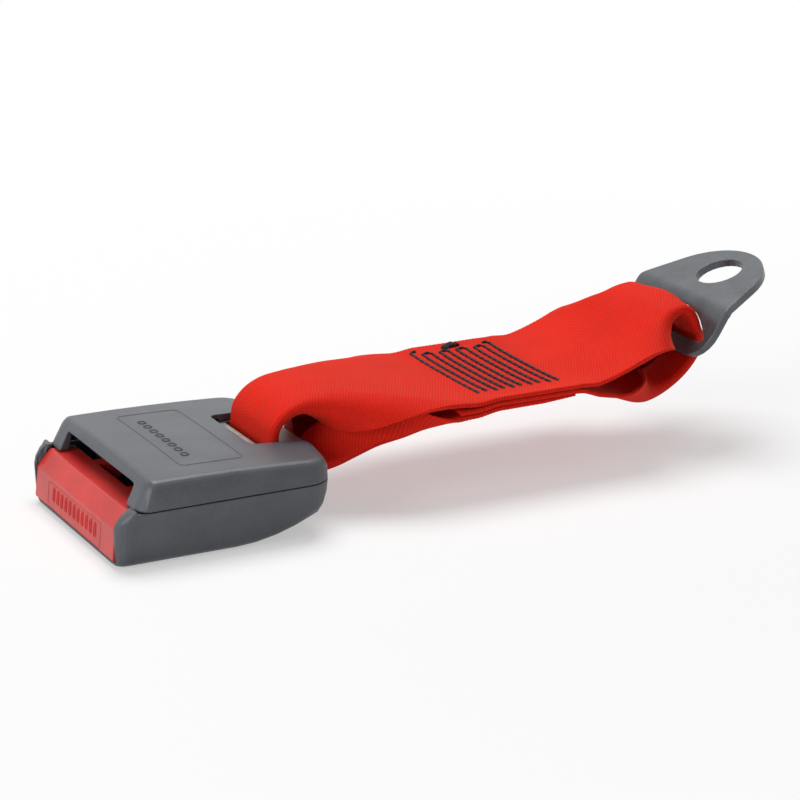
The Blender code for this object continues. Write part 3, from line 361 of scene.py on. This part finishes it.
NODE_MATERIALS = {
    "upper_cover": GREY_PLASTIC,
    "lower_cover": GREY_PLASTIC,
    "press_button": RED_PLASTIC,
    "ejector": WHITE_PLASTIC,
    "anchor_plate": COATED_STEEL,
    "webbing": RED_WEBBING,
}


def paint_nodes():
    """Every CAD node gets its procedural material: springs drawn steel, other metal zinc."""
    for name, node in NODES.items():
        material = NODE_MATERIALS.get(name, SPRING_STEEL if "spring" in name else ZINC_STEEL)
        for slot in node.material_slots:
            slot.material = material


# Mesh helpers


def new_piece(name, bm, material, smooth_angle=40.0):
    """Mesh object from a bmesh, shaded smooth but for edges sharper than the angle."""
    bmesh.ops.recalc_face_normals(bm, faces=bm.faces)
    mesh = bpy.data.meshes.new(name)
    bm.to_mesh(mesh)
    bm.free()
    mesh.materials.append(material)
    for polygon in mesh.polygons:
        polygon.use_smooth = True
    mesh.set_sharp_from_angle(angle=math.radians(smooth_angle))
    piece = bpy.data.objects.new(name, mesh)
    bpy.context.scene.collection.objects.link(piece)
    return piece


def add_tube(bm, path, radii, sides=8, lobes=0.0, twist=0.0):
    """Closed tube through the points; lobes and twist give a plied thread its two strands."""
    rings = []
    for index, (point, radius) in enumerate(zip(path, radii)):
        ahead = path[min(index + 1, len(path) - 1)]
        behind = path[max(index - 1, 0)]
        axis = (ahead - behind).normalized()
        side = axis.cross(Vector((0.0, 0.0, 1.0)))
        side = (side if side.length > 0.01 else Vector((1.0, 0.0, 0.0))).normalized()
        rise = side.cross(axis)
        ring = []
        for step in range(sides):
            angle = 2 * math.pi * step / sides
            swell = radius * (1 + lobes * math.cos(2 * angle - twist * index))
            ring.append(bm.verts.new(point + (side * math.cos(angle) + rise * math.sin(angle)) * swell))
        rings.append(ring)
    for first, second in zip(rings, rings[1:]):
        for step in range(sides):
            after = (step + 1) % sides
            bm.faces.new((first[step], first[after], second[after], second[step]))
    bm.faces.new(rings[0])
    bm.faces.new(reversed(rings[-1]))


def surface_of(node):
    """Search tree over a CAD node's mesh, which is in frame metres."""
    mesh = NODES[node].data
    return BVHTree.FromPolygons([v.co for v in mesh.vertices], [p.vertices for p in mesh.polygons])


def drop(tree, point, direction):
    """First point of the surface met from a point along a direction, or the point itself."""
    place = tree.ray_cast(point, direction)[0]
    return point if place is None else place


# Strap


def around(corner, turn):
    """Middle of the strap where it turns round one corner of the buckle's bar."""
    angle = math.radians(turn)
    return corner[0] + BAR_OFFSET * math.cos(angle), corner[1] + BAR_OFFSET * math.sin(angle)


def strap_route():
    """The solid's side-view route: (x, z, curl in degrees, flat half-width, length of the curl)."""
    top = STITCHED_TOP_Z - STRAP_THICKNESS / 2
    middle = top - STRAP_THICKNESS - LAYER_GAP
    bottom = middle - STRAP_THICKNESS - LAYER_GAP
    flat = FLAT_HALF
    tight = TIGHT_CURL
    open_half = STRAP_WIDTH / 2 - tight - 1.35
    to_buckle = [
        (STRAP_START_X, bottom, 0, open_half, tight),
        (99.0, bottom, 0, open_half, tight),
        (95.0, bottom - 0.1, 2, open_half, tight),
        (91.5, 21.0, 14, open_half, tight),
        (88.5, 20.0, 48, 18.6, 3.2),
        (85.0, 18.6, 84, 16.4, 3.6),
        (80.5, 16.8, 102, 14.6, 4.2),
        (75.0, 14.6, 107, 11.8, 3.4),
        (69.5, 12.4, 117, flat, 2.8),
        (64.5, 10.8, 134, flat, 2.6),
        (61.0, 10.2, 150, flat, tight),
        (58.6, 10.1, 167, flat, tight),
        (56.2, 10.4, 178, flat, tight),
        (51.2, 11.9, TURNED, flat, tight),
    ]
    bar = [((SLOT_BACK_X, FRAME_BOTTOM_Z), (-120, -155)), ((SLOT_BACK_X, FRAME_TOP_Z), (-180, -200))]
    round_bar = [(*around(corner, turn), TURNED, flat, tight) for corner, turns in bar for turn in turns]
    over_top = [
        (47.6, 22.5, TURNED, flat, tight),
        (50.3, 25.7, TURNED, flat, 2.6),
        (54.5, 27.8, 176, flat, 3.6),
        (60.0, 28.6, 162, flat, 6.4),
        (65.0, 28.7, 138, 11.4, 9.4),
        (70.0, 28.4, 110, 12.8, 9.6),
        (75.0, 27.9, 80, 14.6, 8.6),
        (80.0, 27.2, 50, 16.2, 7.2),
        (86.0, 26.2, 20, 18.0, 5.4),
        (92.0, 25.3, 4, open_half, tight),
        (99.0, top + 0.15, 0, open_half, tight),
        (104.0, top, 0, open_half, tight),
        (121.0, top, 0, open_half, tight),
        (126.0, top, 0, open_half, tight),
        (133.0, 25.4, 0, open_half, tight),
        (140.0, 27.6, 1, open_half, tight),
    ]
    from_plate_bend = [
        (-25.0, -8.0, 8, 19.4, 3.8),
        (-21.1, -5.6, 34, 17.4, 5.6),
        (-18.1, -3.4, 84, 15.2, 6.4),
        (-15.5, -1.8, 130, 13.2, 5.8),
        (-12.9, -0.5, 158, 12.4, 4.4),
        (-10.3, 0.1, 172, 12.2, 3.2),
        (-7.8, 0.2, TURNED, 12.2, tight),
        (-5.4, -0.9, TURNED, 12.2, tight),
        (-3.8, -3.2, TURNED, 12.2, tight),
        (-2.8, -5.8, TURNED, 12.1, tight),
        (-1.6, -8.3, TURNED, 11.6, tight),
        (-1.2, -10.6, TURNED, flat, tight),
        (-2.2, -13.2, TURNED, flat, tight),
        (-4.0, -15.8, TURNED, flat, tight),
        (-6.6, -18.4, TURNED, flat, tight),
        (-10.1, -20.8, 177, flat, 3.0),
        (-14.5, -22.4, 168, 11.6, 4.0),
        (-19.1, -22.8, 146, 13.0, 5.0),
        (-23.5, -21.8, 108, 15.0, 5.6),
        (-27.9, -20.0, 60, 17.0, 4.8),
    ]
    round_anchor = [(PLATE_BEND_X + x, PLATE_BEND_Z + z, *section) for x, z, *section in from_plate_bend]
    to_end = [
        (138.4, 19.9, 22, 18.8, 3.6),
        (134.0, 21.5, 4, open_half, tight),
        (129.0, 22.7, 0, open_half, tight),
        (124.0, middle, 0, open_half, tight),
        (119.0, middle, 0, open_half, tight),
        (92.5, middle, 0, open_half, tight),
    ]
    return to_buckle + round_bar + over_top + round_anchor + to_end


def smooth_route(route):
    """Stations about RING_STEP apart on a centripetal Catmull-Rom curve through the route's points."""
    points = np.array(route)
    points = np.vstack([2 * points[0] - points[1], points, 2 * points[-1] - points[-2]])
    stations = []
    for index in range(1, len(points) - 2):
        group = points[index - 1 : index + 3]
        knots = [0.0]
        for first, second in zip(group, group[1:]):
            knots.append(knots[-1] + math.sqrt(np.linalg.norm(second[:2] - first[:2])))
        steps = max(1, round(np.linalg.norm(group[2][:2] - group[1][:2]) / RING_STEP))
        stations += [catmull_rom(group, knots, step / steps) for step in range(steps)]
    stations.append(points[-2])
    return stations


def catmull_rom(group, knots, share):
    """Point at that share of the way from the group's second point to its third."""
    t = knots[1] + (knots[2] - knots[1]) * share
    sides = [between(t, knots, index, index + 1, group[index], group[index + 1]) for index in range(3)]
    halves = [between(t, knots, index, index + 2, sides[index], sides[index + 1]) for index in range(2)]
    return between(t, knots, 1, 2, *halves)


def between(t, knots, low, high, first, second):
    share = (t - knots[low]) / (knots[high] - knots[low])
    return first * (1 - share) + second * share


def half_section(curl, flat, zone, tooth):
    """Middle line of one half as (across, inward, angle, distance along the section)."""
    rest = STRAP_WIDTH / 2 - flat - zone - tooth
    points = [(flat * share, 0.0, 0.0, flat * share) for share in (0.0, 0.34, 0.67, 1.0)]
    steps = 8
    across, inward = flat, 0.0
    for step in range(steps):
        angle = curl * (step + 0.5) / steps
        across += math.cos(angle) * zone / steps
        inward += math.sin(angle) * zone / steps
        points.append((across, inward, curl * (step + 1) / steps, flat + zone * (step + 1) / steps))
    for share in (0.4, 0.8, 1.0):
        reach = rest * share
        place = (across + math.cos(curl) * reach, inward + math.sin(curl) * reach)
        points.append((*place, curl, flat + zone + reach))
    return points


def swell(value, low, high):
    """Smooth hump over a stretch: 0 at its ends and beyond, 1 in its middle."""
    share = min(max((value - low) / (high - low), 0.0), 1.0)
    return math.sin(math.pi * share) ** 2


def cup_at(x, y):
    """Rise of the sewn layers' edges, which the rows of stitches pull up into a shallow trough."""
    low, high = SEWN_X
    rise, fall = SEWN_FADE
    share = min(max((x - low) / rise, 0.0), 1.0) * min(max((high - x) / fall, 0.0), 1.0)
    return SEWN_CUP * share * share * (3 - 2 * share) * abs(2 * y / STRAP_WIDTH) ** 3


def far_uncurl(x, z):
    """Share by which the far edge is less curled than the near one, beside the buckle's end."""
    if z > FRAME_TOP_Z:
        return UPPER_UNCURL * swell(x, *UPPER_UNCURL_X)
    return LOWER_UNCURL * swell(x, *LOWER_UNCURL_X)


def strap_ring(station, heading, tooth, travelled):
    """Closed section of the strip as (point, distance across), with rounded rims."""
    x, z, curl, flat, zone = station
    outward = Vector((-heading[1], 0.0, heading[0]))
    curl = math.radians(max(curl, 0.0))
    far_curl = curl * (1.0 - far_uncurl(x, z))
    near = half_section(curl, flat, zone, tooth)
    far = half_section(far_curl, flat, zone, tooth)
    line = [(-y, h, -angle, -s) for y, h, angle, s in reversed(near[1:])] + far
    crown = SLOT_CROWN * swell(x, *SLOT_CROWN_X) if z > SLOT_CROWN_LOW_Z else 0.0
    crush = max(1.0 - travelled / CRUSH_REACH, 0.0)
    thickness = STRAP_THICKNESS * (1.0 - CRUSHED_END * crush)
    lift = (STRAP_THICKNESS - thickness) / 2
    shift = END_SHIFT * max(1.0 - travelled / (3 * CRUSH_REACH), 0.0)
    ring = []
    for side, order in ((1, line), (-1, list(reversed(line)))):
        for place, (across, inward, angle, s) in enumerate(order):
            rim = place in (0, len(order) - 1)
            offset = side * thickness / 2 * (RIM_SHARE if rim else 1.0)
            dome = crown * swell(across, -flat, flat) if abs(angle) < 0.1 else 0.0
            height = math.cos(angle) * offset - inward + dome
            point = Vector((x, across + math.sin(angle) * offset + shift, z + lift)) + outward * height
            point.z += cup_at(x, point.y)
            ring.append((point, s))
    return ring


def build_strap():
    """The woven strip, one closed loft with a weave map of UV_PER_MM to the millimetre."""
    stations = smooth_route(strap_route())
    bm = bmesh.new()
    weave = bm.loops.layers.uv.new("weave")
    rings = []
    travelled = 0.0
    for index, station in enumerate(stations):
        ahead = stations[min(index + 1, len(stations) - 1)]
        behind = stations[max(index - 1, 0)]
        heading = Vector((ahead[0] - behind[0], ahead[1] - behind[1]))
        travelled += 0.0 if index == 0 else math.dist(station[:2], stations[index - 1][:2])
        tooth = TOOTH_DEPTH * (index % 2)
        ring = strap_ring(station, heading.normalized(), tooth, travelled)
        rings.append([(bm.verts.new(at(*point)), s, travelled) for point, s in ring])
    for first, second in zip(rings, rings[1:]):
        for index in range(len(first)):
            after = (index + 1) % len(first)
            corners = (first[index], first[after], second[after], second[index])
            face = bm.faces.new([corner[0] for corner in corners])
            for loop, (_, s, along) in zip(face.loops, corners):
                loop[weave].uv = (s * UV_PER_MM, along * UV_PER_MM)
    for ring in (rings[0], rings[-1]):
        count = len(ring)
        for index in range(count // 2 - 1):
            bm.faces.new([ring[spot][0] for spot in (index, index + 1, -index - 2, -index - 1)])
    piece = new_piece("webbing_cloth", bm, RED_WEBBING, 60.0)
    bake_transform(piece)
    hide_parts("webbing")
    return piece


# Sewing


def underside(x):
    """Height of the bottom layer's lower face, which rises where its end is pressed thin."""
    bottom = STITCHED_TOP_Z - 3 * STRAP_THICKNESS - 2 * LAYER_GAP
    crush = max(1.0 - (STRAP_START_X - x) / CRUSH_REACH, 0.0)
    return bottom + STRAP_THICKNESS * CRUSHED_END * crush


def add_stitch(bm, start, end, side, raised=0.0):
    """One thread span between two needle holes, arched off the webbing's upper or lower face."""
    path = []
    for step in range(STITCH_STEPS + 1):
        share = step / STITCH_STEPS
        x = start[0] + (end[0] - start[0]) * share
        y = start[1] + (end[1] - start[1]) * share
        arch = math.sin(math.pi * share) ** 0.5
        if side > 0:
            z = STITCHED_TOP_Z + raised + STITCH_LIFT * arch
        else:
            z = underside(x) + UNDER_SINK - STITCH_LIFT * arch
        path.append(at(x, y, z + cup_at(x, y)))
    shares = [THREAD_END] + [1.0] * (STITCH_STEPS - 1) + [THREAD_END]
    radii = [THREAD_RADIUS * MM * share for share in shares]
    add_tube(bm, path, radii, THREAD_SIDES, THREAD_LOBES, THREAD_TWIST)


def add_seam(bm, points, side):
    """Stitches of about STITCH_PITCH along a polyline, with small gaps between them."""
    for start, end in zip(points, points[1:]):
        length = math.dist(start, end)
        count = max(1, round(length / STITCH_PITCH))
        gap = 0.09 if length > STITCH_PITCH else 0.04
        for index in range(count):
            low = (index + gap) / count if count > 1 else gap
            high = (index + 1 - gap) / count if count > 1 else 1 - gap
            a = [start[axis] + (end[axis] - start[axis]) * low for axis in (0, 1)]
            b = [start[axis] + (end[axis] - start[axis]) * high for axis in (0, 1)]
            add_stitch(bm, a, b, side)


def seam_lines():
    """Rows across the strap, joined in pairs at their far ends, as one bar-tacked zigzag."""
    wander = (0.0, 0.5, -0.3, 0.4, -0.2, 0.5, 0.0, 0.3, -0.4, 0.2)
    lines = [[(ROW_X[0], ROW_NEAR_Y), (ROW_X[0], ROW_FAR_Y + 2.6), (ROW_X[0] + 2.0, ROW_FAR_Y + 2.9)]]
    for index in (1, 3, 5, 7):
        first, second = ROW_X[index], ROW_X[index + 1]
        far = ROW_FAR_Y + wander[index]
        near = ROW_NEAR_Y + wander[index]
        later = ROW_NEAR_Y + wander[index + 1]
        lines.append([(first, near), (first, far), (second, far + 0.1), (second, later)])
    last = ROW_X[-1]
    lines.append([(last, ROW_NEAR_Y), (last, ROW_FAR_Y + 2.0), (last - 1.6, ROW_FAR_Y + 2.3)])
    return lines


def build_sewing():
    """Thread on both faces of the three sewn layers, and the tied-off knot at the far edge."""
    bm = bmesh.new()
    for side in (1, -1):
        for line in seam_lines():
            add_seam(bm, line, side)
    rng = np.random.default_rng(7)
    for _ in range(KNOT_SPANS):
        x = KNOT_AT[0] + rng.uniform(-2.6, 2.6)
        y = KNOT_AT[1] + (x - KNOT_AT[0]) * KNOT_SLOPE + rng.uniform(-0.5, 0.5)
        reach = rng.uniform(1.2, 2.2)
        turn = rng.uniform(-0.5, 0.5)
        a = (x - math.cos(turn) * reach / 2, y - math.sin(turn) * reach / 2)
        b = (x + math.cos(turn) * reach / 2, y + math.sin(turn) * reach / 2)
        add_stitch(bm, a, b, 1, rng.uniform(0.0, 0.55))
    piece = new_piece("sewing_thread", bm, DARK_THREAD, 60.0)
    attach(piece, "strap")
    return piece


# Moulded marks


def rounded_rectangle(half_u, half_v, corner, steps=6):
    """Corner-rounded loop of (u, v) points round the origin, anticlockwise."""
    points = []
    for cu, cv, start in ((1, 1, 0), (-1, 1, 90), (-1, -1, 180), (1, -1, 270)):
        for step in range(steps + 1):
            angle = math.radians(start + 90 * step / steps)
            u = cu * (half_u - corner) + corner * math.cos(angle)
            v = cv * (half_v - corner) + corner * math.sin(angle)
            points.append((u, v))
    return points


def fill_in(points, longest):
    """The closed loop with extra points, so that none of its sides is longer than that."""
    dense = []
    for start, end in zip(points, points[1:] + points[:1]):
        count = max(1, math.ceil(math.dist(start, end) / longest))
        for step in range(count):
            share = step / count
            dense.append(tuple(a + (b - a) * share for a, b in zip(start, end)))
    return dense


def add_ridge(bm, loop, place, width, height):
    """Low rounded ridge along a closed loop; place(u, v) gives the surface point and its normal."""
    half = [(0.18, height), (0.42, height * 0.55), (0.5, -RIDGE_SINK)]
    profile = [(-offset, rise) for offset, rise in reversed(half)] + half
    rings = []
    for index, (u, v) in enumerate(loop):
        ahead = loop[(index + 1) % len(loop)]
        behind = loop[index - 1]
        du, dv = ahead[0] - behind[0], ahead[1] - behind[1]
        length = math.hypot(du, dv)
        nu, nv = dv / length, -du / length
        ring = []
        for offset, rise in profile:
            point, normal = place(u + nu * offset * width, v + nv * offset * width)
            ring.append(bm.verts.new(point + normal * rise * MM))
        rings.append(ring)
    for first, second in zip(rings, rings[1:] + rings[:1]):
        for step in range(len(profile)):
            after = (step + 1) % len(profile)
            bm.faces.new((first[step], first[after], second[after], second[step]))


def build_label_marks():
    """On the top cover: the panel's raised outline, and a row of plain oval pips in near-black, painted
    shade of recessed ovals.
    """
    tree = surface_of("upper_cover")
    down = Vector((0.0, 0.0, -1.0))
    middle_x = sum(LABEL_X) / 2

    def on_top(u, v):
        return drop(tree, at(middle_x + u, v, 40.0), down), -down

    bm = bmesh.new()
    half_x = (LABEL_X[1] - LABEL_X[0]) / 2
    outline = fill_in(rounded_rectangle(half_x, LABEL_HALF_Y, LABEL_CORNER), 1.0)
    add_ridge(bm, outline, on_top, *LABEL_RIDGE)
    frame_piece = new_piece("label_outline", bm, GREY_PLASTIC)
    bm = bmesh.new()
    for index in range(PIP_COUNT):
        centre_y = PIP_HALF_ROW * (2 * index / (PIP_COUNT - 1) - 1)
        oval = rounded_rectangle(*PIP_HALF_SIZE, PIP_CORNER, 5)

        def on_pip(u, v, offset=centre_y):
            return on_top(PIP_X - middle_x + u, offset + v)

        add_ridge(bm, oval, on_pip, *PIP_RIDGE)
    # The pips' dark colour is painted shade of recesses, not the plastic's own colour.
    pips = new_piece("label_pips", bm, RECESS_SHADE_PLASTIC)
    for piece in (frame_piece, pips):
        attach(piece, "buckle_head")


def build_button_marks():
    """On the button's face: a thin panel outline round a row of plain grip bars."""
    tree = surface_of("press_button")
    inward = Vector((1.0, 0.0, 0.0))
    middle_z = sum(PRESS_PANEL_Z) / 2

    def on_face(u, v):
        return drop(tree, at(-10.0, u, middle_z + v), inward), -inward

    bm = bmesh.new()
    half_z = (PRESS_PANEL_Z[1] - PRESS_PANEL_Z[0]) / 2
    outline = fill_in(rounded_rectangle(PRESS_PANEL_Y, half_z, PRESS_PANEL_CORNER, 3), 1.5)
    add_ridge(bm, outline, on_face, *PRESS_PANEL_RIDGE)
    low, high = (z - middle_z for z in GRIP_Z)
    for index in range(GRIP_COUNT):
        centre_y = GRIP_HALF_ROW * (2 * index / (GRIP_COUNT - 1) - 1)
        bar = fill_in(rounded_rectangle(GRIP_HALF_WIDTH, (high - low) / 2, GRIP_CORNER, 4), 1.0)

        def on_bar(u, v, offset=centre_y):
            return on_face(offset + u, (low + high) / 2 + v)

        add_ridge(bm, bar, on_bar, *GRIP_RIDGE)
    marks = new_piece("button_marks", bm, RED_PLASTIC)
    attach(marks, "button")


# Stage, light and camera


def build_floor():
    """White floor at the buckle's underside: it keeps the shadow near and fades to plain white."""
    bm = bmesh.new()
    bmesh.ops.create_grid(bm, x_segments=8, y_segments=8, size=FLOOR_REACH)
    bmesh.ops.translate(bm, verts=bm.verts, vec=Vector(FLOOR_MIDDLE) - Vector((0.0, 0.0, FLOOR_DROP)))
    shader = Shader("white_floor", (0.93, 0.93, 0.93), 0.9)
    shader.set("Specular IOR Level", 0.0)
    where = shader.add("ShaderNodeNewGeometry").outputs["Position"]
    away = shader.add("ShaderNodeVectorMath", {0: where, 1: FLOOR_MIDDLE}, operation="DISTANCE")
    near, plain = FLOOR_FADE
    inputs = {"Value": away.outputs["Value"], "From Min": near, "From Max": plain}
    far = shader.add("ShaderNodeMapRange", inputs).outputs["Result"]
    rays = shader.add("ShaderNodeLightPath")
    seen = shader.math("MAXIMUM", rays.outputs["Is Camera Ray"], rays.outputs["Is Glossy Ray"])
    seen = shader.math("MAXIMUM", seen, rays.outputs["Is Transmission Ray"])
    white = shader.add("ShaderNodeEmission", {"Color": (1.0, 1.0, 1.0, 1.0), "Strength": 1.0})
    inputs = {"Value": far, "To Min": NEAR_FLOOR_WHITE}
    glow = shader.add("ShaderNodeMapRange", inputs).outputs["Result"]
    share = shader.math("MULTIPLY", glow, seen)
    blend = shader.add("ShaderNodeMixShader", {0: share, 1: shader.bsdf.outputs[0], 2: white.outputs[0]})
    surface = shader.tree.nodes["Material Output"].inputs["Surface"]
    shader.tree.links.new(blend.outputs[0], surface)
    floor = new_piece("floor", bm, shader.material)


def light_world():
    """White surroundings for the camera and for reflections, a plain grey level for diffuse light."""
    world = bpy.data.worlds.new("studio")
    bpy.context.scene.world = world
    world.use_nodes = True
    tree = world.node_tree
    background = tree.nodes["Background"]
    background.inputs["Color"].default_value = (1.0, 1.0, 1.0, 1.0)
    rays = tree.nodes.new("ShaderNodeLightPath")
    seen = tree.nodes.new("ShaderNodeMath")
    seen.operation = "MAXIMUM"
    tree.links.new(rays.outputs["Is Camera Ray"], seen.inputs[0])
    tree.links.new(rays.outputs["Is Glossy Ray"], seen.inputs[1])
    also = tree.nodes.new("ShaderNodeMath")
    also.operation = "MAXIMUM"
    tree.links.new(seen.outputs[0], also.inputs[0])
    tree.links.new(rays.outputs["Is Transmission Ray"], also.inputs[1])
    level = tree.nodes.new("ShaderNodeMapRange")
    level.inputs["To Min"].default_value = DIFFUSE_WORLD
    level.inputs["To Max"].default_value = 1.0
    tree.links.new(also.outputs[0], level.inputs["Value"])
    tree.links.new(level.outputs["Result"], background.inputs["Strength"])


def add_area_light(name, place, aim, size, power):
    data = bpy.data.lights.new(name, "AREA")
    data.shape = "DISK"
    data.size = size
    data.energy = power
    lamp = bpy.data.objects.new(name, data)
    lamp.location = place
    lamp.rotation_euler = (Vector(aim) - Vector(place)).to_track_quat("-Z", "Y").to_euler()
    bpy.context.scene.collection.objects.link(lamp)


def place_camera():
    data = bpy.data.cameras.new("photo_camera")
    data.sensor_width = 36.0
    data.lens = CAMERA_LENS
    data.clip_start = 0.01
    camera = bpy.data.objects.new("photo_camera", data)
    camera.location = at(*CAMERA_AT)
    level = math.cos(CAMERA_PITCH)
    aim = Vector((math.cos(CAMERA_TURN) * level, math.sin(CAMERA_TURN) * level, -math.sin(CAMERA_PITCH)))
    camera.rotation_euler = aim.to_track_quat("-Z", "Y").to_euler()
    bpy.context.scene.collection.objects.link(camera)
    bpy.context.scene.camera = camera


paint_nodes()
build_strap()
build_sewing()
build_label_marks()
build_button_marks()
build_floor()
light_world()
add_area_light("key_light", (0.00, 0.30, 1.05), (-0.09, 0.0, 0.0), 0.8, 10.6)
add_area_light("left_fill", (-1.05, -0.25, 0.30), (-0.12, 0.0, -0.02), 0.6, 4.0)
place_camera()
bpy.context.scene.view_settings.view_transform = "Standard"
